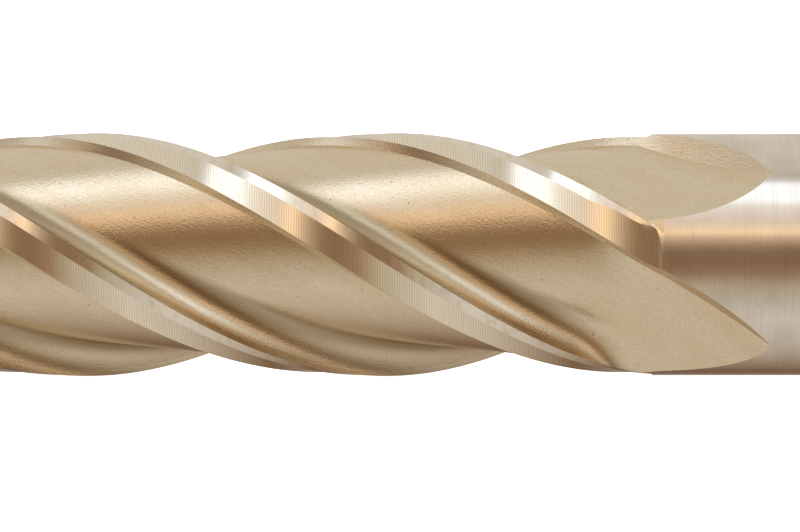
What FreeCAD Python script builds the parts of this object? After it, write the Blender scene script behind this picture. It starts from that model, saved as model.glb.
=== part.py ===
import FreeCAD, Part
import math
import os
from FreeCAD import Placement, Rotation, Vector

# Right-hand cut, right-hand helix, centre-cutting square end mill with a welded straight shank.
# The tool axis is X. The shank's end face is at x = 0 and the cutting end points towards -X.
# Lengths are millimetres and angles are degrees. Angles about the axis turn from +Y towards +Z.

# Driving dimensions: the whole tool
cutter_diameter = 25.4
shank_diameter = 25.4
overall_length = 139.7
relief_length = 76.2            # length of cut, from the tip to where the land relief stops
cutting_section_length = 94.5   # fluted blank, from the tip to the weld
weld_thickness = 1.0
neck_under_size = 0.2           # the neck's diameter, below the cutting diameter
weld_under_size = 0.34          # the weld band's diameter, below the shank, to stay clear of a holder

# Driving dimensions: flutes
flute_count = 4
helix_angle = 32.6              # at the cutting edge
start_angle = 38.5              # where the first cutting edge stands at the tip
web_diameter = 18.8             # bar left between opposite flutes
radial_rake = 5.0
hook_end_angle = -8.6           # direction the flute floor faces where hook meets back, from the edge
heel_wall_depth = 1.0
heel_wall_lean = 4.0
runout_setback = 2.2            # the flute wheel leaves this far before the relief stops
flute_wheel_radius = 59.0
runout_lift_angle = -35.0       # direction the wheel lifts away, from the cutting edge

# Driving dimensions: land relief
primary_land = 1.33
primary_relief = 7.0
secondary_land = 2.95
secondary_relief = 18.5
relief_wheel_corner = 1.05

# Driving dimensions: end teeth
dish_angle = 1.5
end_primary_land = 1.3
end_primary_relief = 7.0
end_secondary_relief = 20.0
gash_opening = 60.0             # angle between the notch's wall and floor
gash_tilt = 20.0                # slope of the notch's root, down from the end face
gash_centre_depth = 1.1
gash_ahead = 0.3                # how far an end edge stands ahead of the axis
short_tooth_start = 2.8         # every second end edge starts this far from the axis

# Driving dimensions: shank
flat_depth = 1.905
flat_length = 13.08
first_flat_from_end = 34.1      # centre of the flat nearer the flutes
flat_spacing = 19.05
flat_corner = 1.6
flat_direction = 90.0
shank_chamfer = 1.5
centre_hole_diameter = 3.15
centre_hole_depth = 4.5
centre_mouth_diameter = 6.7

# Worked-out sizes
cutter_radius = cutter_diameter / 2
shank_radius = shank_diameter / 2
neck_radius = (cutter_diameter - neck_under_size) / 2
weld_radius = (shank_diameter - weld_under_size) / 2
web_radius = web_diameter / 2
lead = math.pi * cutter_diameter / math.tan(math.radians(helix_angle))
tooth_pitch = 360.0 / flute_count
tip = -overall_length
relief_end = tip + relief_length
wheel_exit = relief_end - runout_setback
weld_face = tip + cutting_section_length
shank_face = weld_face + weld_thickness
grinding_stock = 0.25           # the fluted blank starts this much over size, on the radius
overshoot = 4.0                 # how far a cutting shape reaches past what it cuts
rake_overrun = 35.0             # how far the flute wheel's hook arc runs on outside the cutting edge

os.makedirs("parts", exist_ok=True)


def polar(radius, angle):
    """Point in the section plane x = 0, at an angle about the tool axis."""
    turn = math.radians(angle)
    return Vector(0, radius * math.cos(turn), radius * math.sin(turn))


def cylinder(radius, x_from, x_to):
    """Round bar on the tool axis."""
    return Part.makeCylinder(radius, x_to - x_from, Vector(x_from, 0, 0), Vector(1, 0, 0))


def about_axis(shape, angle):
    """Copy of a shape turned about the tool axis."""
    turned = shape.copy()
    turned.rotate(Vector(0, 0, 0), Vector(1, 0, 0), angle)
    return turned


def helix_turn(x):
    """Angle of the first cutting edge at a station along the tool."""
    return start_angle + 360.0 * (x - tip) / lead


def swept_along_helix(section, x_from, x_to):
    """Solid left by a section of the plane x = 0 that screws along the flutes."""
    wire = about_axis(section, helix_turn(x_from))
    wire.translate(Vector(x_from, 0, 0))
    guide = Part.makeHelix(lead, x_to - x_from, cutter_radius)
    guide.Placement = Placement(Vector(x_from, 0, 0), Rotation(Vector(0, 1, 0), 90))
    guide = about_axis(guide, helix_turn(x_from) - 180)
    spine = Part.Wire(Part.makeLine(Vector(x_from, 0, 0), Vector(x_to, 0, 0)))
    pipe = Part.BRepOffsetAPI.MakePipeShell(spine)
    pipe.setAuxiliarySpine(Part.Wire(guide.Edges), True, 0)
    pipe.add(wire)
    pipe.build()
    pipe.makeSolid()
    return pipe.shape()


# One tooth's corner points, in the section plane with its cutting edge on +Y
edge = Vector(0, cutter_radius, 0)


def inside_tangent(relief):
    """Direction from the cutting edge back over the land, falling away from the tangent."""
    return Vector(0, -math.sin(math.radians(relief)), math.cos(math.radians(relief)))


land_break = edge + inside_tangent(primary_relief) * primary_land
heel = land_break + inside_tangent(secondary_relief) * secondary_land
wall_down = polar(-1.0, -heel_wall_lean)
wall_foot = heel + wall_down * heel_wall_depth


def one_tooth_ahead(point):
    """The same corner on the tooth in front, across the flute."""
    return Rotation(Vector(1, 0, 0), -tooth_pitch).multVec(point)


def flute_section():
    """Closed outline of what the flute wheel removes ahead of a cutting edge."""
    rake_sine = math.sin(math.radians(radial_rake))
    hook_radius = (cutter_radius ** 2 - web_radius ** 2) / (2 * (web_radius + cutter_radius * rake_sine))
    hook_centre = edge + polar(hook_radius, -90 - radial_rake)
    floor_facing = polar(1.0, hook_end_angle)
    hook_end = hook_centre - floor_facing * hook_radius
    hook_middle = hook_centre - polar(hook_radius, (hook_end_angle - 90 - radial_rake) / 2)
    foot = one_tooth_ahead(wall_foot)
    span = foot - hook_end
    back_radius = -span.Length ** 2 / (2 * span.dot(floor_facing))
    back_centre = hook_end - floor_facing * back_radius
    back_middle = back_centre + (foot + hook_end - back_centre * 2).normalize() * back_radius
    wall_top = one_tooth_ahead(heel - wall_down * overshoot)
    rake_top = hook_centre + polar(hook_radius, 90 - radial_rake - rake_overrun)
    rake_cover = rake_top + polar(overshoot, -radial_rake)
    cover = polar(cutter_radius + 1.5 * overshoot, runout_lift_angle)
    return Part.Wire([
        Part.LineSegment(rake_cover, rake_top).toShape(),
        Part.Arc(rake_top, hook_middle, hook_end).toShape(),
        Part.Arc(hook_end, back_middle, foot).toShape(),
        Part.LineSegment(foot, wall_top).toShape(),
        Part.Arc(wall_top, cover, rake_cover).toShape(),
    ])


def relief_section():
    """Closed outline of what the two relief grinds remove behind a cutting edge."""
    lead_in = edge - inside_tangent(primary_relief) * (overshoot / 4)
    lead_out = heel + inside_tangent(secondary_relief) * (overshoot / 4)
    outside = cutter_radius + overshoot
    near = polar(outside, -math.degrees(math.atan2(-lead_in.z, lead_in.y)))
    far = polar(outside, math.degrees(math.atan2(lead_out.z, lead_out.y)))
    middle = polar(outside, 10.0)
    return Part.Wire([
        Part.LineSegment(lead_in, land_break).toShape(),
        Part.LineSegment(land_break, lead_out).toShape(),
        Part.LineSegment(lead_out, far).toShape(),
        Part.Arc(far, middle, near).toShape(),
        Part.LineSegment(near, lead_in).toShape(),
    ])


def flute_runout(section):
    """The wheel's own shape at the end of a flute: it lifts out along the helix tangent."""
    turn = helix_turn(wheel_exit)
    wire = about_axis(section, turn)
    wire.translate(Vector(wheel_exit, 0, 0))
    sideways = polar(math.tan(math.radians(helix_angle)), turn + runout_lift_angle + 90)
    wheel_reach = flute_wheel_radius * math.cos(math.radians(helix_angle)) ** 2
    run = math.sqrt(2 * wheel_reach * (cutter_radius - web_radius + overshoot))
    outward = polar(run ** 2 / (2 * wheel_reach), turn + runout_lift_angle)
    start = Vector(wheel_exit, 0, 0)
    end = start + Vector(run, 0, 0) + sideways * run + outward
    middle_pole = start + Vector(run / 2, 0, 0) + sideways * (run / 2)
    path = Part.BezierCurve()
    path.setPoles([start, middle_pole, end])
    pipe = Part.BRepOffsetAPI.MakePipeShell(Part.Wire(path.toShape()))
    pipe.setTrihedronMode(Vector(0, 0, 0), Vector(1, 0, 0))
    pipe.add(wire)
    pipe.build()
    pipe.makeSolid()
    return pipe.shape()


def relief_stop(from_point, direction, width):
    """Round bottom that the relief wheel's corner leaves where a relief facet stops."""
    turn = helix_turn(relief_end)
    outward = direction.cross(Vector(1, 0, 0)).normalize()
    if outward.dot(from_point) < 0:
        outward = -outward
    base = from_point + outward * relief_wheel_corner
    corner = Part.makeCylinder(relief_wheel_corner, width, base, direction)
    corner.translate(Vector(relief_end, 0, 0))
    return about_axis(corner, turn)


def prism(near, far):
    """Solid between two matching flat outlines."""
    faces = [Part.Face(Part.makePolygon(near + near[:1])), Part.Face(Part.makePolygon(far + far[:1]))]
    for i in range(len(near)):
        j = (i + 1) % len(near)
        faces.append(Part.Face(Part.makePolygon([near[i], near[j], far[j], far[i], near[i]])))
    return Part.makeSolid(Part.makeShell(faces))


def end_relief():
    """Two slopes that fall away behind one end edge, and in towards the axis by the dish."""
    slope_one = math.tan(math.radians(end_primary_relief))
    slope_two = math.tan(math.radians(end_secondary_relief))
    lead_in = gash_ahead
    land_end = end_primary_land - gash_ahead
    outlines = []
    for along in (gash_ahead, 2 * cutter_radius):
        end_edge = tip + (cutter_radius - along) * math.tan(math.radians(dish_angle))
        break_x = end_edge + end_primary_land * slope_one
        far_x = break_x + (2 * cutter_radius - land_end) * slope_two
        outlines.append([
            Vector(end_edge - lead_in * slope_one, along, -gash_ahead - lead_in),
            Vector(break_x, along, land_end),
            Vector(far_x, along, 2 * cutter_radius),
            Vector(tip - overshoot, along, 2 * cutter_radius),
            Vector(tip - overshoot, along, -gash_ahead - lead_in),
        ])
    return prism(outlines[0], outlines[1])


def gash(start):
    """Notch in front of one end tooth: a wall under the edge and a floor sloping up from its root."""
    outlines = []
    for along in (start, 2 * cutter_radius):
        root = tip + gash_centre_depth + (along - start) * math.tan(math.radians(gash_tilt))
        opening = (root - tip + overshoot) * math.tan(math.radians(gash_opening))
        outlines.append([
            Vector(root, along, -gash_ahead),
            Vector(tip - overshoot, along, -gash_ahead),
            Vector(tip - overshoot, along, -gash_ahead - opening),
        ])
    return prism(outlines[0], outlines[1])


def side_grinds():
    """Everything the flute wheel and the relief wheel remove for one tooth."""
    flute = flute_section()
    grinds = [
        flute_runout(flute),
        swept_along_helix(relief_section(), tip - overshoot, relief_end),
        relief_stop(edge, (land_break - edge).normalize(), primary_land),
        relief_stop(land_break, (heel - land_break).normalize(), secondary_land + overshoot / 4),
    ]
    return swept_along_helix(flute, tip - overshoot, wheel_exit).fuse(grinds)


def make_cutting_section():
    """Cobalt steel: four flutes, relieved lands, end teeth, and a plain neck up to the weld."""
    neck_start = relief_end + relief_wheel_corner
    taper = Part.makeCone(cutter_radius, neck_radius, neck_start - wheel_exit,
                          Vector(wheel_exit, 0, 0), Vector(1, 0, 0))
    body = cylinder(cutter_radius + grinding_stock, tip, wheel_exit)
    body = body.fuse([taper, cylinder(neck_radius, neck_start, weld_face)])
    side = side_grinds()
    for tooth in range(flute_count):
        body = body.cut(about_axis(side, tooth * tooth_pitch))
    for tooth in range(flute_count):
        gash_start = short_tooth_start if tooth % 2 else -gash_ahead
        for grind in (end_relief(), gash(gash_start)):
            body = body.cut(about_axis(grind, start_angle + tooth * tooth_pitch))
    return body.Solids[0]


def make_weld_band():
    """Forged band where the two steels meet, turned just below the shank."""
    return cylinder(weld_radius, weld_face, shank_face)


def driving_flat(centre):
    """What a driving flat removes: flat floor across the shank, with a round at each end."""
    floor = shank_radius - flat_depth
    top = shank_radius + overshoot
    start = centre - flat_length / 2
    end = centre + flat_length / 2
    bend = flat_corner * (1 - math.sqrt(0.5))
    outline = Part.Wire([
        Part.LineSegment(Vector(start, floor + flat_corner, 0), Vector(start, top, 0)).toShape(),
        Part.LineSegment(Vector(start, top, 0), Vector(end, top, 0)).toShape(),
        Part.LineSegment(Vector(end, top, 0), Vector(end, floor + flat_corner, 0)).toShape(),
        Part.Arc(Vector(end, floor + flat_corner, 0), Vector(end - bend, floor + bend, 0),
                 Vector(end - flat_corner, floor, 0)).toShape(),
        Part.LineSegment(Vector(end - flat_corner, floor, 0), Vector(start + flat_corner, floor, 0)).toShape(),
        Part.Arc(Vector(start + flat_corner, floor, 0), Vector(start + bend, floor + bend, 0),
                 Vector(start, floor + flat_corner, 0)).toShape(),
    ])
    outline.translate(Vector(0, 0, -shank_diameter))
    block = Part.Face(outline).extrude(Vector(0, 0, 2 * shank_diameter))
    return about_axis(block, flat_direction)


def centre_hole():
    """Lathe centre in the shank's end: a 60 degree mouth and a short drilled pilot."""
    mouth_depth = (centre_mouth_diameter - centre_hole_diameter) / 2 / math.tan(math.radians(30))
    point_depth = centre_hole_diameter / 2 / math.tan(math.radians(59))
    half = [
        Vector(overshoot, 0, 0),
        Vector(overshoot, centre_mouth_diameter / 2 + overshoot * math.tan(math.radians(30)), 0),
        Vector(-mouth_depth, centre_hole_diameter / 2, 0),
        Vector(-mouth_depth - centre_hole_depth, centre_hole_diameter / 2, 0),
        Vector(-mouth_depth - centre_hole_depth - point_depth, 0, 0),
    ]
    return Part.Face(Part.makePolygon(half + half[:1])).revolve(Vector(0, 0, 0), Vector(1, 0, 0), 360)


def make_shank():
    """Alloy steel: ground bar with two driving flats, a chamfered end and a lathe centre."""
    end_bar = Part.makeCone(shank_radius, shank_radius - shank_chamfer, shank_chamfer,
                            Vector(-shank_chamfer, 0, 0), Vector(1, 0, 0))
    bar = cylinder(shank_radius, shank_face, -shank_chamfer).fuse(end_bar).removeSplitter()
    bar = bar.cut(centre_hole())
    for number in range(2):
        bar = bar.cut(driving_flat(-first_flat_from_end + number * flat_spacing))
    return bar.Solids[0]


pieces = {
    "cutting_section": make_cutting_section(),
    "weld_band": make_weld_band(),
    "shank": make_shank(),
}

for name, shape in pieces.items():
    print(name, shape.ShapeType, "valid" if shape.isValid() else "NOT VALID", round(shape.Volume, 1), "mm3")
    shape.exportStep("parts/" + name + ".step")
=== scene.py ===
import math
import bmesh
import bpy
from mathutils import Matrix, Vector


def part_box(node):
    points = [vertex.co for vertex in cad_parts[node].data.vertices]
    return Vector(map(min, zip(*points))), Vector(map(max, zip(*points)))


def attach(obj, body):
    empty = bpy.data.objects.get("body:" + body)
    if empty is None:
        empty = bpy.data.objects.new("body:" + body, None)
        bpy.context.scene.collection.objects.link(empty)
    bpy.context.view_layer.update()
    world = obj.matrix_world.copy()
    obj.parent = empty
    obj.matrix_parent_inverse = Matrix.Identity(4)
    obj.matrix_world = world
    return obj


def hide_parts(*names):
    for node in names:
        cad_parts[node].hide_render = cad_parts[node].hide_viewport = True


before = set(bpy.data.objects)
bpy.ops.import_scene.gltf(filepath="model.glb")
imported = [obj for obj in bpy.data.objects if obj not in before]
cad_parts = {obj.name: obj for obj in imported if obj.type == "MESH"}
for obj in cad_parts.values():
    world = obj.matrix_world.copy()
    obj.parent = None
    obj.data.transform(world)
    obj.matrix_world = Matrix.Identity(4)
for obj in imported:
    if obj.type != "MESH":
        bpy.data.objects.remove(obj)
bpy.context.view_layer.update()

# ---------------------------------------------------------------------------------------------------
# Cutting section, side: one bar of cobalt high-speed steel, hardened and then ground all over.
# A formed wheel grinds the four flutes along the helix, and a plain wheel relieves each land twice,
# a narrow bright facet at the cutting edge and a wider one behind it.
# ---------------------------------------------------------------------------------------------------
mm = 0.001
low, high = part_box("cutting_section")
tip = low[0]
weld_face = high[0]
cutter_radius = high[2]
helix_angle = math.radians(32.6)
lead = math.pi * 2 * cutter_radius / math.tan(helix_angle)
tooth_count = 4
tooth_pitch = math.radians(360 / tooth_count)
relief_length = 75.64 * mm
relief_past_wheel = 0.84 * mm
relief_end = tip + relief_length
wheel_exit = relief_end - relief_past_wheel
start_turn = math.radians(38.5)
tool_axis = Vector((1, 0, 0))
centre = Vector((0, 0, 0))
merge_gap = 0.002 * mm


def around(radius, degrees):
    """Point at an angle about the tool axis."""
    turn = math.radians(degrees)
    return Vector((0, radius * math.cos(turn), radius * math.sin(turn)))


def turned(point, radians):
    """Point turned about the tool axis."""
    return Matrix.Rotation(radians, 3, "X") @ point


def helix_turn(x):
    """Angle of the first cutting edge at a station along the tool."""
    return start_turn + math.tau * (x - tip) / lead


cutting_edge = around(cutter_radius, 0)
radial_rake = 5.0
web_radius = 9.4 * mm
primary_land = 1.33 * mm
primary_relief = 7.0
secondary_land = 2.95 * mm
secondary_relief = 18.5
wall_height = 1.0 * mm
wall_lean = 4.0
primary_step = around(primary_land, 90 + primary_relief)
secondary_step = around(secondary_land, 90 + secondary_relief)
wall_step = around(wall_height, 180 - wall_lean)
land_break = cutting_edge + primary_step
heel = land_break + secondary_step
wall_foot = heel + wall_step
break_angle = math.atan2(land_break.z, land_break.y)
heel_angle = math.atan2(heel.z, heel.y)
hook_radius = cutter_radius ** 2 - web_radius ** 2
hook_radius /= 2 * (web_radius + cutter_radius * math.sin(math.radians(radial_rake)))
hook_centre = cutting_edge + around(hook_radius, -90 - radial_rake)
hook_end_facing = -8.6
hook_end = hook_centre - around(hook_radius, hook_end_facing)
foot_ahead = turned(wall_foot, -tooth_pitch)
back_span = foot_ahead - hook_end
back_radius = -back_span.length_squared / (2 * back_span.dot(around(1, hook_end_facing)))
back_centre = hook_end - around(back_radius, hook_end_facing)
back_sweep = math.radians(hook_end_facing)
back_sweep -= math.atan2(foot_ahead.z - back_centre.z, foot_ahead.y - back_centre.y)
hook_sweep = math.radians(-90 - radial_rake - hook_end_facing)
back_steps = 26
hook_steps = 26
floor_way = (cutting_edge - foot_ahead).normalized()
foot_angle = math.atan2(foot_ahead.z, foot_ahead.y)
fade = 7 * mm
angle_slip = 0.00003


def flatten(vert, share):
    """Moves a point of the flute ahead of the first edge towards the wheel's own flat floor."""
    along = (vert.co - foot_ahead).dot(floor_way)
    vert.co += (foot_ahead + floor_way * along - vert.co) * share


def eased(share):
    """A smooth rise from nought to one."""
    share = min(max(share, 0.0), 1.0)
    return share * share * (3 - 2 * share)


def narrow_land(vert, past_exit):
    """Narrows the bright facet of the first tooth's land as the relief wheels near their stop."""
    angle = math.atan2(vert.co.z, vert.co.y)
    spare_angle = 0.0001
    if angle < -spare_angle or angle > heel_angle + spare_angle:
        return
    if vert.co.length > cutter_radius + 0.01 * mm:
        return
    slow_part = eased((past_exit + 5.8 * mm) / (3 * mm))
    quick_part = min(max((past_exit + 2.8 * mm) / (3.7 * mm), 0.0), 1.0) ** 4
    left = (1 - 0.45 * slow_part) * (1 - quick_part)
    corner = cutting_edge + primary_step * left
    if angle < break_angle:
        vert.co = cutting_edge.lerp(corner, angle / break_angle)
    else:
        vert.co = corner.lerp(heel, (angle - break_angle) / (heel_angle - break_angle))


def straight(bm, vert, step, pieces):
    """Runs an outline on from its last point in a straight line."""
    for _ in range(pieces):
        made = bmesh.ops.extrude_vert_indiv(bm, verts=[vert])
        vert = made["verts"][0]
        vert.co += step / pieces
    return vert


def bend(bm, vert, pivot, sweep, pieces, axis=tool_axis):
    """Runs an outline on from its last point round a centre."""
    made = bmesh.ops.spin(bm, geom=[vert], cent=pivot, axis=axis, angle=sweep, steps=pieces)
    return [item for item in made["geom_last"] if isinstance(item, bmesh.types.BMVert)][0]


def finish_mesh(bm, name):
    """Merges doubles, turns the faces outwards and makes the object."""
    bmesh.ops.remove_doubles(bm, verts=bm.verts, dist=merge_gap)
    bmesh.ops.recalc_face_normals(bm, faces=bm.faces)
    mesh = bpy.data.meshes.new(name)
    bm.to_mesh(mesh)
    bm.free()
    made = bpy.data.objects.new(name, mesh)
    bpy.context.scene.collection.objects.link(made)
    return made


def swept_edges(made):
    """The edges that a sweep ends on."""
    return [item for item in made["geom_last"] if isinstance(item, bmesh.types.BMEdge)]


class Amount:
    """A shader value that can stand in a sum, so that finishes are written as ordinary arithmetic."""

    def __init__(self, finish, socket):
        self.finish = finish
        self.socket = socket

    def worked(self, operation, *terms):
        """The outcome of one sum."""
        return self.finish.node("ShaderNodeMath", {"operation": operation}, dict(enumerate(terms)))

    def sine(self):
        """The sine of the value, taken as an angle."""
        return self.worked("SINE", self)

    def root(self):
        """The square root of the value."""
        return self.worked("SQRT", self)

    def angle(self, along):
        """The angle of a point that lies this far up and so far along."""
        return self.worked("ARCTAN2", self, along)

    def wrapped(self, span):
        """What is left of the value after whole spans are taken off."""
        return self.worked("FLOORED_MODULO", self, span)

    def __add__(self, other):
        return self.worked("ADD", self, other)

    def __radd__(self, other):
        return self.worked("ADD", other, self)

    def __sub__(self, other):
        return self.worked("SUBTRACT", self, other)

    def __rsub__(self, other):
        return self.worked("SUBTRACT", other, self)

    def __mul__(self, other):
        return self.worked("MULTIPLY", self, other)

    def __truediv__(self, other):
        return self.worked("DIVIDE", self, other)


class Finish:
    """The nodes of one surface, or of the studio round it."""

    def __init__(self, owner):
        owner.use_nodes = True
        self.owner = owner
        self.tree = owner.node_tree

    def node(self, kind, settings, sockets, result=0):
        """Adds a node: settings first, a ramp's stops among them, and then what its sockets take."""
        made = self.tree.nodes.new(kind)
        for name, value in settings.items():
            if name == "stops":
                self.lay_stops(made.color_ramp, value)
            else:
                setattr(made, name, value)
        for name, value in sockets.items():
            self.feed(made, name, value)
        return Amount(self, [socket for socket in made.outputs if socket.enabled][result])

    def lay_stops(self, ramp, stops):
        """Gives a ramp its colours, each at its place."""
        for number, (place, colour) in enumerate(stops):
            stop = ramp.elements[number] if number < 2 else ramp.elements.new(place)
            stop.position = place
            stop.color = (*colour, 1)

    def feed(self, made, name, value):
        """Gives one socket of a node a link or a plain value."""
        free = [socket for socket in made.inputs if socket.enabled]
        socket = free[name] if isinstance(name, int) else [item for item in free if item.name == name][0]
        if isinstance(value, Amount):
            self.tree.links.new(value.socket, socket)
        else:
            socket.default_value = (*value, 1) if socket.type == "RGBA" else value

    def place(self, kind="Object"):
        """Where a point is on the object or, as Generated in the studio, the way that light goes."""
        outputs = ["Generated", "Normal", "UV", "Object"]
        return self.node("ShaderNodeTexCoord", {}, {}, outputs.index(kind))

    def coordinate(self, place, number):
        """One of a place's three coordinates."""
        return self.node("ShaderNodeSeparateXYZ", {}, {"Vector": place}, number)

    def axis(self, number, kind="Object"):
        """How far along one axis a point lies."""
        return self.coordinate(self.place(kind), number)

    def along_flute(self):
        """The object's place turned back along the helix, so that marks follow the flutes."""
        x = self.axis(0)
        turn = {"Vector": self.place(), "Angle": x * (-math.tau / lead)}
        return self.node("ShaderNodeVectorRotate", {"rotation_type": "X_AXIS"}, turn)

    def marks(self, place, lengthwise, crosswise, detail=3.0):
        """Noise with so many marks in a metre, along the tool and across it."""
        stretch = {0: place, 1: (lengthwise, crosswise, crosswise)}
        stretched = self.node("ShaderNodeVectorMath", {"operation": "MULTIPLY"}, stretch)
        noise = {"Vector": stretched, "Scale": 1.0, "Detail": detail}
        return self.node("ShaderNodeTexNoise", {}, noise)

    def between(self, low, high, amount):
        """Nought below one value, one above another, and a smooth rise between them."""
        ramp = {"interpolation_type": "SMOOTHSTEP"}
        span = {"Value": amount, "From Min": low, "From Max": high}
        return self.node("ShaderNodeMapRange", ramp, span)

    def mixed(self, first, second, share):
        """A colour between two colours."""
        colours = {"Factor": share, "A": first, "B": second}
        return self.node("ShaderNodeMix", {"data_type": "RGBA"}, colours)

    def metal(self, colour, roughness, height, depth):
        """Bare metal with a colour, a roughness and marks of a given depth."""
        shader = self.tree.nodes["Principled BSDF"]
        relief = {"Strength": 1.0, "Distance": depth, "Height": height}
        self.feed(shader, "Base Color", colour)
        self.feed(shader, "Roughness", roughness)
        self.feed(shader, "Metallic", 1.0)
        self.feed(shader, "Normal", self.node("ShaderNodeBump", {}, relief))
        return self.owner


def flute_finish():
    """Straw-tinted steel, satin from the formed wheel, with fine lines along the helix.

    The hook, the hollow just ahead of the next edge, is darkened with painted shade, dimming the
    reflection there, until the flute runs out.
    """
    finish = Finish(bpy.data.materials.new("flute_ground"))
    helical = finish.along_flute()
    grain = finish.marks(helical, 4300, 6000, 2.0)
    lines = finish.marks(helical, 260, 8000)
    patches = finish.marks(helical, 90, 330, 4.0)
    specks = finish.between(0.76, 0.80, finish.marks(finish.place(), 2400, 2400, 1.0))
    straw = finish.mixed((0.86, 0.77, 0.60), (0.76, 0.63, 0.43), patches)
    straw = finish.mixed(straw, (0.68, 0.58, 0.42), finish.between(0.5, 0.72, lines) * 0.5)
    straw = finish.mixed(straw, (0.58, 0.48, 0.32), finish.between(0.46, 0.66, grain) * 0.35)
    y = finish.coordinate(helical, 1)
    z = finish.coordinate(helical, 2)
    behind_edge = (z.angle(y) - helix_turn(0)).wrapped(tooth_pitch) / tooth_pitch
    # Painted shade over the hook's hollow: the straw colour is darkened there, fading out where the
    # flute runs out.
    hook_painted_shade = finish.between(0.74, 0.84, behind_edge) - finish.between(0.90, 0.985, behind_edge) * 0.7
    run_out = finish.between(64 * mm, 71 * mm, finish.axis(0) - tip)
    hook_shade_strength = 0.72
    hook_painted_shade = hook_painted_shade - hook_painted_shade * run_out
    straw = finish.mixed(straw, (0.34, 0.26, 0.15), hook_painted_shade * hook_shade_strength)
    straw = finish.mixed(straw, (0.20, 0.16, 0.11), specks * 0.6)
    roughness = 0.13 + grain * 0.10 + patches * 0.06 + specks * 0.2
    return finish.metal(straw, roughness, grain + lines * 0.4, 0.021 * mm)


def primary_finish():
    """The narrow facet at the cutting edge: a fine wheel leaves it bright."""
    finish = Finish(bpy.data.materials.new("primary_land"))
    rings = finish.marks(finish.place(), 7000, 200)
    wear = finish.marks(finish.place(), 1500, 700)
    steel = finish.mixed((0.88, 0.83, 0.72), (0.76, 0.69, 0.56), finish.between(0.45, 0.75, wear))
    return finish.metal(steel, 0.06 + rings * 0.08, rings * 0.5 + wear * 0.2, 0.003 * mm)


def secondary_finish():
    """The wider facet behind it: a coarser wheel leaves wavy rings a quarter of a millimetre apart."""
    finish = Finish(bpy.data.materials.new("secondary_land"))
    ring_gap = 0.25 * mm
    x = finish.axis(0)
    waver = finish.marks(finish.place(), 700, 300, 2.0)
    ring = (x * (math.tau / ring_gap) + waver * 5.0).sine() * 0.5 + 0.5
    fine = finish.marks(finish.place(), 9000, 260)
    steel = finish.mixed((0.92, 0.85, 0.70), (0.44, 0.36, 0.24), finish.between(0.3, 1.0, ring) * 0.30)
    steel = finish.mixed(steel, (0.56, 0.47, 0.35), finish.between(0.55, 0.78, fine) * 0.4)
    return finish.metal(steel, 0.08 + ring * 0.05 + fine * 0.08, ring * 0.6 + fine * 0.6, 0.006 * mm)


section = bmesh.new()
point = section.verts.new(cutting_edge)
point = straight(section, point, primary_step, 3)
point = straight(section, point, secondary_step, 5)
point = straight(section, point, wall_step, 3)
point = bend(section, point, turned(back_centre, tooth_pitch), back_sweep, back_steps)
point = bend(section, point, turned(hook_centre, tooth_pitch), hook_sweep, hook_steps)
bmesh.ops.spin(section, geom=section.verts[:] + section.edges[:], cent=centre, axis=tool_axis,
               angle=math.tau, steps=tooth_count, use_duplicate=True)
bmesh.ops.remove_doubles(section, verts=section.verts, dist=merge_gap)
bmesh.ops.rotate(section, verts=section.verts, cent=centre, matrix=Matrix.Rotation(start_turn, 3, "X"))
bmesh.ops.translate(section, verts=section.verts, vec=Vector((tip, 0, 0)))
flute_steps = 150
first_ring = section.edges[:]
flutes = bmesh.ops.spin(section, geom=first_ring, cent=centre, axis=tool_axis,
                        dvec=Vector(((wheel_exit - tip) / flute_steps, 0, 0)),
                        angle=helix_turn(wheel_exit) - start_turn, steps=flute_steps)
edge_share = 0.01
rake_undercut_share = 0.1
foot_slip = 0.005
for vert in section.verts:
    station = vert.co.x
    if station < wheel_exit - fade:
        continue
    turn = helix_turn(station)
    teeth_round = (math.atan2(vert.co.z, vert.co.y) - turn) / tooth_pitch
    along_tooth = (teeth_round + angle_slip) % 1
    full_radius = math.hypot(vert.co.y, vert.co.z) > cutter_radius - 0.05 * mm
    on_land = along_tooth < heel_angle / tooth_pitch + 2 * angle_slip
    on_land = on_land and (along_tooth > edge_share or full_radius)
    if on_land:
        tooth = math.floor(teeth_round + angle_slip)
    else:
        tooth = math.floor(teeth_round - rake_undercut_share) + 1
    turn += tooth_pitch * tooth
    vert.co = turned(Vector((0, vert.co.y, vert.co.z)), -turn)
    if on_land:
        narrow_land(vert, station - wheel_exit)
    elif math.atan2(vert.co.z, vert.co.y) > foot_angle - foot_slip:
        flatten(vert, eased((station - wheel_exit + fade) / fade))
    vert.co = turned(vert.co, turn) + Vector((station, 0, 0))
bmesh.ops.edgeloop_fill(section, edges=first_ring)
bmesh.ops.edgeloop_fill(section, edges=swept_edges(flutes))
fluted_bar = finish_mesh(section, "fluted_bar")

# ---------------------------------------------------------------------------------------------------
# Cutting section, end: four teeth gashed and relieved on the end face. Two edges run to the axis, so
# the tool can plunge, and two stop short. All four fall a little towards the axis.
# ---------------------------------------------------------------------------------------------------
edge_ahead = 0.3 * mm
dish = math.tan(math.radians(1.5))
reach = 2 * cutter_radius


def carried(bm, outline, run):
    """Fills an outline and carries the face straight along a run, which leaves a closed block."""
    face = bmesh.ops.contextual_create(bm, geom=outline)["faces"]
    grown = bmesh.ops.extrude_face_region(bm, geom=face, use_keep_orig=True)["geom"]
    moved = [item for item in grown if isinstance(item, bmesh.types.BMVert)]
    bmesh.ops.translate(bm, verts=moved, vec=run)
    return bm


def prism(corners, run):
    """Cutting block: a flat shape with these corners, carried along a run."""
    bm = bmesh.new()
    outline = [bm.verts.new(corner) for corner in corners]
    return carried(bm, outline, run)


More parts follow.
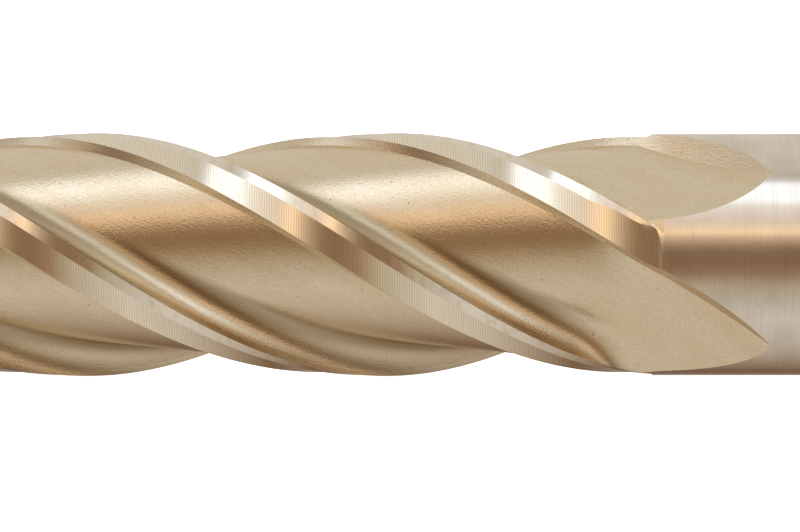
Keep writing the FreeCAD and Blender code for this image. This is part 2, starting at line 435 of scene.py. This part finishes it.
def end_relief_block():
    """What two end relief grinds take off behind one end edge."""
    land = 1.3 * mm
    relief_slope = math.tan(math.radians(7))
    clearance_slope = math.tan(math.radians(20))
    clear_x = tip - 5 * mm
    edge_x = tip + (cutter_radius - edge_ahead) * dish
    break_x = edge_x + land * relief_slope
    far_x = break_x + (reach - land) * clearance_slope
    corners = [
        Vector((edge_x - edge_ahead * relief_slope, edge_ahead, -2 * edge_ahead)),
        Vector((break_x, edge_ahead, land - edge_ahead)),
        Vector((far_x, edge_ahead, reach)),
        Vector((clear_x, edge_ahead, reach)),
        Vector((clear_x, edge_ahead, -2 * edge_ahead)),
    ]
    return prism(corners, Vector((-reach * dish, reach, 0)))


def gash_block(start):
    """The notch in front of one end edge: a wall under the edge and a sloping floor."""
    root = tip + 1.1 * mm
    top = tip - 20 * mm
    opening_slope = math.tan(math.radians(60))
    floor_slope = math.tan(math.radians(20))
    corners = [
        Vector((root, start, -edge_ahead)),
        Vector((top, start, -edge_ahead)),
        Vector((top, start, -edge_ahead - (root - top) * opening_slope)),
    ]
    return prism(corners, Vector((reach * floor_slope, reach, 0)))


def ground_away(piece, blocks):
    """Cuts blocks from a piece, one after another, and keeps the result as the piece's mesh."""
    cutters = []
    for bm, turn in blocks:
        block = finish_mesh(bm, "block")
        block.data.transform(Matrix.Rotation(turn, 4, "X"))
        cut = piece.modifiers.new("cut", "BOOLEAN")
        cut.operation = "DIFFERENCE"
        cut.solver = "EXACT"
        cut.object = block
        cutters.append(block)
    graph = bpy.context.evaluated_depsgraph_get()
    piece_mesh = bpy.data.meshes.new_from_object(piece.evaluated_get(graph))
    piece.modifiers.clear()
    piece.data = piece_mesh
    for block in cutters:
        bpy.data.objects.remove(block)


def end_finish():
    """The end teeth: fine grinding lines across the tool, and a duller surface than the lands."""
    finish = Finish(bpy.data.materials.new("end_ground"))
    lines = finish.marks(finish.place(), 9000, 700)
    patches = finish.marks(finish.place(), 500, 500)
    steel = finish.mixed((0.78, 0.72, 0.60), (0.60, 0.53, 0.42), patches)
    return finish.metal(steel, 0.22 + lines * 0.14, lines, 0.005 * mm)


short_edge_start = 2.8 * mm
end_blocks = []
for tooth in range(tooth_count):
    turn = start_turn + tooth * tooth_pitch
    gash_start = short_edge_start if tooth % 2 else -edge_ahead
    end_blocks.append((end_relief_block(), turn))
    end_blocks.append((gash_block(gash_start), turn))
ground_away(fluted_bar, end_blocks)

# ---------------------------------------------------------------------------------------------------
# Cutting section, neck: where the flutes run out. The flute wheel swings clear of the bar and leaves
# its own shape, the relief wheel stops a little later on a round corner, and a plain neck is left.
# ---------------------------------------------------------------------------------------------------
neck_radius = cutter_radius - 0.1 * mm
flute_wheel_radius = 51 * mm
wheel_reach = flute_wheel_radius * math.cos(helix_angle) ** 2
helix_slope = math.tan(helix_angle)
lift_angle = math.degrees(math.atan2(floor_way.z, floor_way.y)) - 90
corner_radius = 1.05 * mm
wall_swing = 6
exit_turn = helix_turn(wheel_exit)
bar_steps = 256


def fresh_copy_forward(bm, ring, move):
    """Carries an open tube's last ring on by one step."""
    made = bmesh.ops.extrude_edge_only(bm, edges=ring)["geom"]
    verts = [item for item in made if isinstance(item, bmesh.types.BMVert)]
    edges = [item for item in made if isinstance(item, bmesh.types.BMEdge)]
    edges = [item for item in edges if item.verts[0] in verts and item.verts[1] in verts]
    move(verts)
    return edges


def closed_outline(bm, first, last):
    """Joins an outline's last point to its first, and gives its edges."""
    bmesh.ops.contextual_create(bm, geom=[last, first])
    return bm.edges[:]


def set_at_wheel_exit(bm):
    """Takes a block made about x = 0 to where the flute wheel starts to lift out."""
    bmesh.ops.rotate(bm, verts=bm.verts, cent=centre, matrix=Matrix.Rotation(exit_turn, 3, "X"))
    bmesh.ops.translate(bm, verts=bm.verts, vec=Vector((wheel_exit, 0, 0)))
    return bm


def runout_block():
    """The flute wheel's shape as it lifts out along the helix tangent."""
    bm = bmesh.new()
    first = bm.verts.new(cutting_edge + floor_way * 6 * mm)
    point = straight(bm, first, floor_way * -6 * mm, 1)
    point = bend(bm, point, hook_centre, -hook_sweep, hook_steps)
    point = bend(bm, point, back_centre, -back_sweep, back_steps)
    for vert in bm.verts:
        flatten(vert, 1)
    out_of_flute = -turned(wall_step, -tooth_pitch)
    point = straight(bm, point, out_of_flute, 3)
    point = straight(bm, point, out_of_flute * 4, 1)
    for degrees in (-60, -35, -10):
        point = straight(bm, point, around(cutter_radius + 7 * mm, degrees) - point.co, 1)
    ring = closed_outline(bm, first, point)
    first_ring = ring[:]
    sideways = around(helix_slope, lift_angle + 90)
    lead_in = 1.0 * mm
    bmesh.ops.translate(bm, verts=bm.verts, vec=Vector((-lead_in, 0, 0)) - sideways * lead_in)
    step = Vector((lead_in, 0, 0)) + sideways * lead_in
    ring = fresh_copy_forward(bm, ring, lambda verts: bmesh.ops.translate(bm, verts=verts, vec=step))
    run_steps = 46
    run_length = 18 * mm
    stride = run_length / run_steps
    for count in range(run_steps):
        lift = ((count + 1) ** 2 - count ** 2) * stride ** 2 / (2 * wheel_reach)
        step = Vector((stride, 0, 0)) + sideways * stride + around(lift, lift_angle)
        ring = fresh_copy_forward(bm, ring, lambda verts: bmesh.ops.translate(bm, verts=verts, vec=step))
    swing_length = 4 * mm
    hair = 0.001 * mm
    for vert in bm.verts:
        out = max(vert.co.x, 0.0)
        foot = foot_ahead + sideways * vert.co.x + around(out ** 2 / (2 * wheel_reach), lift_angle)
        from_foot = Vector((0, vert.co.y, vert.co.z)) - foot
        if from_foot.dot(floor_way) < -hair and from_foot.dot(around(1, lift_angle)) > hair:
            swing = math.radians(wall_swing) * eased(out / swing_length)
            vert.co = foot + turned(from_foot, swing) + Vector((vert.co.x, 0, 0))
    bmesh.ops.edgeloop_fill(bm, edges=first_ring)
    bmesh.ops.edgeloop_fill(bm, edges=ring)
    return set_at_wheel_exit(bm)


def relief_stop_block():
    """The relief wheel's last turn on the land, and the round corner it leaves where it lifts off."""
    bm = bmesh.new()
    past = 0.5 * mm
    first = bm.verts.new(cutting_edge - primary_step.normalized() * past)
    point = straight(bm, first, primary_step.normalized() * past, 1)
    point = straight(bm, point, primary_step, 3)
    point = straight(bm, point, secondary_step, 5)
    point = straight(bm, point, secondary_step.normalized() * past, 1)
    for degrees in (24, 10, -4):
        point = straight(bm, point, around(cutter_radius + 4 * mm, degrees) - point.co, 1)
    ring = closed_outline(bm, first, point)
    first_ring = ring[:]
    stride = 0.28 * mm
    per_stride = math.tau * stride / lead
    bmesh.ops.rotate(bm, verts=bm.verts, cent=centre, matrix=Matrix.Rotation(-per_stride, 3, "X"))
    bmesh.ops.translate(bm, verts=bm.verts, vec=Vector((-stride, 0, 0)))

    def along_helix(verts):
        """Moves points one stride along the helix."""
        bmesh.ops.rotate(bm, verts=verts, cent=centre, matrix=Matrix.Rotation(per_stride, 3, "X"))
        bmesh.ops.translate(bm, verts=verts, vec=Vector((stride, 0, 0)))

    strides = round((relief_end - wheel_exit) / stride)
    for _ in range(strides + 1):
        ring = fresh_copy_forward(bm, ring, along_helix)
    for vert in bm.verts:
        station = vert.co.x
        turn = math.tau * station / lead
        vert.co = turned(Vector((0, vert.co.y, vert.co.z)), -turn)
        narrow_land(vert, station)
        vert.co = turned(vert.co, turn) + Vector((station, 0, 0))
    lift_way = around(1, math.degrees(strides * per_stride) + secondary_relief)
    corner_steps = 10
    corner_sweep = math.radians(70)
    for count in range(corner_steps):
        here = corner_sweep * count / corner_steps
        there = corner_sweep * (count + 1) / corner_steps
        move = Vector((corner_radius * (math.sin(there) - math.sin(here)), 0, 0))
        move += lift_way * corner_radius * (math.cos(here) - math.cos(there))
        ring = fresh_copy_forward(bm, ring, lambda verts: bmesh.ops.translate(bm, verts=verts, vec=move))
    bmesh.ops.edgeloop_fill(bm, edges=first_ring)
    bmesh.ops.edgeloop_fill(bm, edges=ring)
    return set_at_wheel_exit(bm)


def ring_ground_finish(name, light, dark, ring_share):
    """A cylinder ground between centres: fine rings round the axis, and the odd nick from handling."""
    finish = Finish(bpy.data.materials.new(name))
    rings = finish.marks(finish.place(), 11000, 130)
    broad = finish.marks(finish.place(), 900, 60, 2.0)
    blotches = finish.marks(finish.place(), 260, 260)
    specks = finish.between(0.76, 0.80, finish.marks(finish.place(), 3100, 2300, 1.0))
    steel = finish.mixed(light, dark, finish.between(0.35, 0.75, blotches) * 0.5)
    steel = finish.mixed(steel, dark, finish.between(0.5, 0.75, rings) * ring_share)
    steel = finish.mixed(steel, (0.18, 0.15, 0.12), specks * 0.5)
    roughness = 0.06 + rings * 0.10 + blotches * 0.04 + specks * 0.2
    return finish.metal(steel, roughness, rings * 0.8 + broad * 0.5 - specks * 0.6, 0.007 * mm)


neck = bmesh.new()
neck_start = relief_end + corner_radius
exit_degrees = math.degrees(exit_turn)
spare_radius = cutter_radius + 0.03 * mm
point = neck.verts.new(Vector((wheel_exit, 0, 0)) + around(spare_radius, exit_degrees))
end_point = Vector((neck_start, 0, 0)) + around(neck_radius, exit_degrees)
point = straight(neck, point, end_point - point.co, 6)
point = straight(neck, point, Vector((weld_face - neck_start, 0, 0)), 34)
bmesh.ops.spin(neck, geom=neck.verts[:] + neck.edges[:], cent=centre, axis=tool_axis,
               angle=math.tau, steps=bar_steps, use_merge=True)
bmesh.ops.holes_fill(neck, edges=neck.edges[:])
neck_bar = finish_mesh(neck, "neck_bar")
neck_blocks = []
for tooth in range(tooth_count):
    neck_blocks.append((runout_block(), tooth * tooth_pitch))
for tooth in range(tooth_count):
    neck_blocks.append((relief_stop_block(), tooth * tooth_pitch))
ground_away(neck_bar, neck_blocks)


def on_seam(vert):
    """Whether a point lies in the plane where the fluted bar and the neck bar meet."""
    return abs(vert.co.x - wheel_exit) < 0.0005 * mm


def smoothed(piece, crease):
    """Shades a piece smoothly, with sharp edges where it turns by more than so many degrees."""
    piece.data.polygons.foreach_set("use_smooth", [True] * len(piece.data.polygons))
    piece.data.set_sharp_from_angle(angle=math.radians(crease))


whole = bmesh.new()
whole.from_mesh(fluted_bar.data)
whole.from_mesh(neck_bar.data)
seam_faces = [face for face in whole.faces if all(on_seam(vert) for vert in face.verts)]
bmesh.ops.delete(whole, geom=seam_faces, context="FACES")
seam_verts = [vert for vert in whole.verts if on_seam(vert)]
bmesh.ops.remove_doubles(whole, verts=seam_verts, dist=0.01 * mm)
bpy.data.objects.remove(fluted_bar)
bpy.data.objects.remove(neck_bar)
cutter_body = finish_mesh(whole, "cutter_body")
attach(cutter_body, "root")
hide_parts("cutting_section")
smoothed(cutter_body, 9)

cutter_finishes = [
    flute_finish(),
    primary_finish(),
    secondary_finish(),
    end_finish(),
    ring_ground_finish("neck_ground", (0.81, 0.76, 0.68), (0.62, 0.56, 0.47), 0.6),
]
flute_slot, primary_slot, secondary_slot, end_slot, neck_slot = range(len(cutter_finishes))
end_teeth_length = 6 * mm
land_span = 20
break_facing = 12
cutter_body.data.materials.clear()
for finish in cutter_finishes:
    cutter_body.data.materials.append(finish)
for face in cutter_body.data.polygons:
    spot = face.center
    radius = math.hypot(spot.y, spot.z)
    facing = face.normal
    outward = (facing.y * spot.y + facing.z * spot.z) / max(radius, 0.01 * mm)
    behind_edge = math.degrees((math.atan2(spot.z, spot.y) - helix_turn(spot.x)) % tooth_pitch)
    on_bar = radius > neck_radius - 0.02 * mm and spot.x > relief_end and outward > 0.998
    if spot.x < tip + end_teeth_length and facing.x < -0.4:
        face.material_index = end_slot
    elif facing.x > 0.9 or on_bar:
        face.material_index = neck_slot
    elif behind_edge > land_span or outward < 0.9:
        face.material_index = flute_slot
    else:
        edge_facing = math.atan2(facing.z, facing.y) - math.atan2(spot.z, spot.y)
        edge_facing += math.radians(behind_edge)
        edge_facing = math.degrees((edge_facing + math.pi) % math.tau - math.pi)
        face.material_index = secondary_slot if edge_facing > break_facing else primary_slot

# ---------------------------------------------------------------------------------------------------
# Weld band: where the cobalt steel is friction welded to the shank. The upset flash is turned off
# just below the shank, and the heat leaves the ring a shade darker than the steels beside it.
# ---------------------------------------------------------------------------------------------------
low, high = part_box("weld_band")
weld_radius = high[2]


def turned_piece(name, outline, steps):
    """A closed solid of revolution: an outline from axis to axis, spun round the tool's axis."""
    bm = bmesh.new()
    point = bm.verts.new(outline[0])
    for corner, pieces in outline[1:]:
        point = straight(bm, point, corner - point.co, pieces)
    bmesh.ops.spin(bm, geom=bm.verts[:] + bm.edges[:], cent=centre, axis=tool_axis,
                   angle=math.tau, steps=steps, use_merge=True)
    return finish_mesh(bm, name)


def ring_point(x, radius):
    """Corner of a turned outline, at a place along the tool and a distance from its axis."""
    return Vector((x, 0, radius))


def weld_finish():
    """Turned, with a faint temper tint across the ring."""
    finish = Finish(bpy.data.materials.new("weld_turned"))
    x = finish.axis(0)
    feed_step = 0.12 * mm
    feed = (x * (math.tau / feed_step)).sine() * 0.5 + 0.5
    rings = finish.marks(finish.place(), 12000, 100)
    tint = finish.marks(finish.place(), 1400, 220)
    steel = finish.mixed((0.50, 0.46, 0.40), (0.36, 0.34, 0.35), tint)
    return finish.metal(steel, 0.26 + rings * 0.16, feed * 0.7 + rings * 0.4, 0.005 * mm)


weld_groove = 0.08 * mm
weld_band = turned_piece("weld_ring", [
    ring_point(low[0], 0),
    (ring_point(low[0], weld_radius - weld_groove), 1),
    (ring_point(low[0] + weld_groove, weld_radius), 1),
    (ring_point(high[0] - weld_groove, weld_radius), 4),
    (ring_point(high[0], weld_radius - weld_groove), 1),
    (ring_point(high[0], 0), 1),
], bar_steps)
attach(weld_band, "root")
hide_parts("weld_band")
weld_band.data.materials.append(weld_finish())
smoothed(weld_band, 20)

# ---------------------------------------------------------------------------------------------------
# Shank: a ground bar of tough alloy steel. Two flats are milled for the holder's screws, the end is
# faced and chamfered, and the lathe centre that it was ground on is left in the end.
# ---------------------------------------------------------------------------------------------------
low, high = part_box("shank")
shank_radius = high[1]
shank_end = high[0]
chamfer = 1.5 * mm
mouth_radius = 3.35 * mm
pilot_radius = 1.575 * mm
pilot_depth = 4.5 * mm
mouth_half_angle = math.radians(30)
drill_half_angle = math.radians(59)
mouth_depth = (mouth_radius - pilot_radius) / math.tan(mouth_half_angle)
point_depth = pilot_radius / math.tan(drill_half_angle)
flat_length = 13.08 * mm
flat_corner = 1.6 * mm
flat_depth = 1.905 * mm
flat_floor = shank_radius - flat_depth
flat_centres = [shank_end - 34.1 * mm, shank_end - 15.05 * mm]


def flat_block(middle):
    """What the cutter takes off for one flat: a plane floor with a round at each end."""
    bm = bmesh.new()
    start = Vector((middle - flat_length / 2, -2 * shank_radius, flat_floor + flat_corner))
    first = bm.verts.new(start + Vector((0, 0, 2 * flat_corner)))
    across = Vector((0, 1, 0))
    quarter_turn = -math.radians(90)
    corner_steps = 12
    point = straight(bm, first, Vector((0, 0, -2 * flat_corner)), 1)
    pivot = point.co + Vector((flat_corner, 0, 0))
    point = bend(bm, point, pivot, quarter_turn, corner_steps, across)
    point = straight(bm, point, Vector((flat_length - 2 * flat_corner, 0, 0)), 1)
    pivot = point.co + Vector((0, 0, flat_corner))
    point = bend(bm, point, pivot, quarter_turn, corner_steps, across)
    point = straight(bm, point, Vector((0, 0, 2 * flat_corner)), 1)
    return carried(bm, closed_outline(bm, first, point), across * 4 * shank_radius)


def milled_finish():
    """The driving flats: arcs left across the floor by the milling cutter."""
    finish = Finish(bpy.data.materials.new("flat_milled"))
    x = finish.axis(0)
    y = finish.axis(1)
    cusp_gap = 0.35 * mm
    sweep = (x + y * y * 18.0) * (math.tau / cusp_gap)
    cusps = sweep.sine() * 0.5 + 0.5
    fine = finish.marks(finish.place(), 8000, 1200)
    steel = finish.mixed((0.74, 0.70, 0.64), (0.60, 0.56, 0.50), cusps * 0.7)
    return finish.metal(steel, 0.20 + fine * 0.16, cusps * 0.8 + fine * 0.4, 0.006 * mm)


def faced_finish():
    """The end face and its chamfer: turned, with rings round the centre hole, and painted shade
    darkening the inside of the hole.
    """
    finish = Finish(bpy.data.materials.new("end_faced"))
    y = finish.axis(1)
    z = finish.axis(2)
    radius = (y * y + z * z).root()
    feed_step = 0.16 * mm
    feed = (radius * (math.tau / feed_step)).sine() * 0.5 + 0.5
    patches = finish.marks(finish.place(), 400, 400)
    # Painted shade: the colour is darkened inside the centre hole's recess, and the surface there is
    # also made rougher.
    hole_painted_shade = 1 - finish.between(0.95 * mouth_radius, 1.02 * mouth_radius, radius)
    steel = finish.mixed((0.74, 0.71, 0.66), (0.58, 0.54, 0.49), feed * 0.5 + patches * 0.3)
    steel = finish.mixed(steel, (0.32, 0.29, 0.26), hole_painted_shade * 0.7)
    return finish.metal(steel, 0.20 + patches * 0.12 + hole_painted_shade * 0.15, feed, 0.006 * mm)


shank_bar = turned_piece("shank_bar", [
    ring_point(low[0], 0),
    (ring_point(low[0], shank_radius), 1),
    (ring_point(shank_end - chamfer, shank_radius), 30),
    (ring_point(shank_end, shank_radius - chamfer), 2),
    (ring_point(shank_end, mouth_radius), 4),
    (ring_point(shank_end - mouth_depth, pilot_radius), 4),
    (ring_point(shank_end - mouth_depth - pilot_depth, pilot_radius), 3),
    (ring_point(shank_end - mouth_depth - pilot_depth - point_depth, 0), 1),
], bar_steps)
ground_away(shank_bar, [(flat_block(middle), 0) for middle in flat_centres])
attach(shank_bar, "root")
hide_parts("shank")
shank_finishes = [
    ring_ground_finish("shank_ground", (0.80, 0.77, 0.72), (0.63, 0.59, 0.53), 0.6),
    milled_finish(),
    faced_finish(),
]
milled_slot = 1
faced_slot = 2
shank_bar.data.materials.clear()
for finish in shank_finishes:
    shank_bar.data.materials.append(finish)
for face in shank_bar.data.polygons:
    spot = face.center
    radius = math.hypot(spot.y, spot.z)
    if face.normal.x > 0.5 or radius < mouth_radius:
        face.material_index = faced_slot
    elif spot.z > 0 and radius < shank_radius - 0.02 * mm and spot.x > low[0] + flat_corner:
        face.material_index = milled_slot
smoothed(shank_bar, 20)

# ---------------------------------------------------------------------------------------------------
# Studio: a pale floor inside a light tent. The tent's tones run round the tool's axis: a long soft
# box above, pale walls, and the darker open side that the camera looks in from.
# ---------------------------------------------------------------------------------------------------
tent_steel = (0.78, 0.735, 0.665)
tent_brightness = 2.0
tent_tones = [
    (-180, (0.62, 0.57, 0.54)),
    (-165, (0.50, 0.42, 0.35)),
    (-148, (0.43, 0.33, 0.25)),
    (-120, (0.61, 0.54, 0.46)),
    (-94, (0.715, 0.66, 0.60)),
    (-64, (0.765, 0.715, 0.65)),
    (-46, (0.71, 0.66, 0.60)),
    (-30, (0.66, 0.60, 0.50)),
    (-18, (0.55, 0.44, 0.34)),
    (-6, (0.49, 0.38, 0.28)),
    (3, (0.50, 0.40, 0.30)),
    (9, (0.60, 0.49, 0.39)),
    (16, (0.77, 0.655, 0.53)),
    (21, (0.98, 0.83, 0.66)),
    (31, (0.83, 0.75, 0.67)),
    (41, (0.87, 0.81, 0.75)),
    (47, (0.89, 0.86, 0.81)),
    (53, (1.02, 1.01, 1.00)),
    (70, (1.02, 1.01, 1.00)),
    (75, (0.76, 0.735, 0.71)),
    (80, (0.725, 0.68, 0.615)),
    (90, (0.765, 0.72, 0.66)),
    (150, (0.77, 0.725, 0.66)),
    (180, (0.68, 0.63, 0.59)),
]


def tent_light(tone):
    """Light that shows as a tone once the steel has taken its share."""
    return [shown ** 2.2 / steel / tent_brightness for shown, steel in zip(tone, tent_steel)]


studio = Finish(bpy.data.worlds.new("studio"))
bpy.context.scene.world = studio.owner
away = studio.axis(1, "Generated")
upward = studio.axis(2, "Generated")
round_axis = upward.angle(away * -1.0) / math.tau + 0.5
stops = [(degrees / 360 + 0.5, tent_light(tone)) for degrees, tone in tent_tones]
tent = studio.node("ShaderNodeValToRGB", {"stops": stops}, {0: round_axis})
endways = studio.axis(0, "Generated")
ends = studio.between(0.55, 0.95, (endways * endways).root())
tent = studio.mixed(tent, (0.12, 0.10, 0.085), ends * 0.6)
seen = studio.node("ShaderNodeLightPath", {}, {}, 0)
backdrop = studio.mixed(tent, (1.0, 1.0, 1.0), seen)
sky = studio.tree.nodes["Background"]
studio.feed(sky, "Color", backdrop)
studio.feed(sky, "Strength", tent_brightness)

paper = Finish(bpy.data.materials.new("floor_paper"))
fibre = paper.marks(paper.place(), 900, 900, 4.0)
sheet = paper.tree.nodes["Principled BSDF"]
paper.feed(sheet, "Base Color", paper.mixed((0.86, 0.86, 0.86), (0.82, 0.82, 0.82), fibre))
paper.feed(sheet, "Roughness", 0.95)
paper.feed(sheet, "Specular IOR Level", 0.0)
paper.feed(sheet, "Emission Color", (1.0, 1.0, 1.0))
paper.feed(sheet, "Emission Strength", 0.85)
floor = bmesh.new()
bmesh.ops.create_grid(floor, x_segments=2, y_segments=2, size=3.0)
bmesh.ops.translate(floor, verts=floor.verts, vec=Vector((0, 0, -shank_radius - 0.1 * mm)))
floor_sheet = finish_mesh(floor, "floor_sheet")
floor_sheet.data.materials.append(paper.owner)
floor_sheet.visible_glossy = False

soft_box = bpy.data.lights.new("soft_box", "AREA")
soft_box.energy = 1.2
soft_box.size = 0.6
soft_box_stand = bpy.data.objects.new("soft_box", soft_box)
bpy.context.scene.collection.objects.link(soft_box_stand)
soft_box_stand.location = (tip + 0.05, -0.12, 0.5)
soft_box_stand.rotation_euler = (math.radians(14), 0, 0)
soft_box_stand.visible_glossy = False

camera = bpy.data.cameras.new("camera")
camera_stand = bpy.data.objects.new("camera", camera)
bpy.context.scene.collection.objects.link(camera_stand)
bpy.context.scene.camera = camera_stand
camera_distance = 0.4
view_width = 3.2922 * 2 * cutter_radius
view_middle = tip + 49.95 * mm
camera.sensor_width = 36
camera.lens = camera.sensor_width * camera_distance / view_width
camera_stand.location = (view_middle, -camera_distance, 0)
camera_stand.rotation_euler = (math.radians(90), 0, 0)
camera.clip_start = 0.01
camera.shift_y = -0.0144
bpy.context.scene.view_settings.view_transform = "Standard"
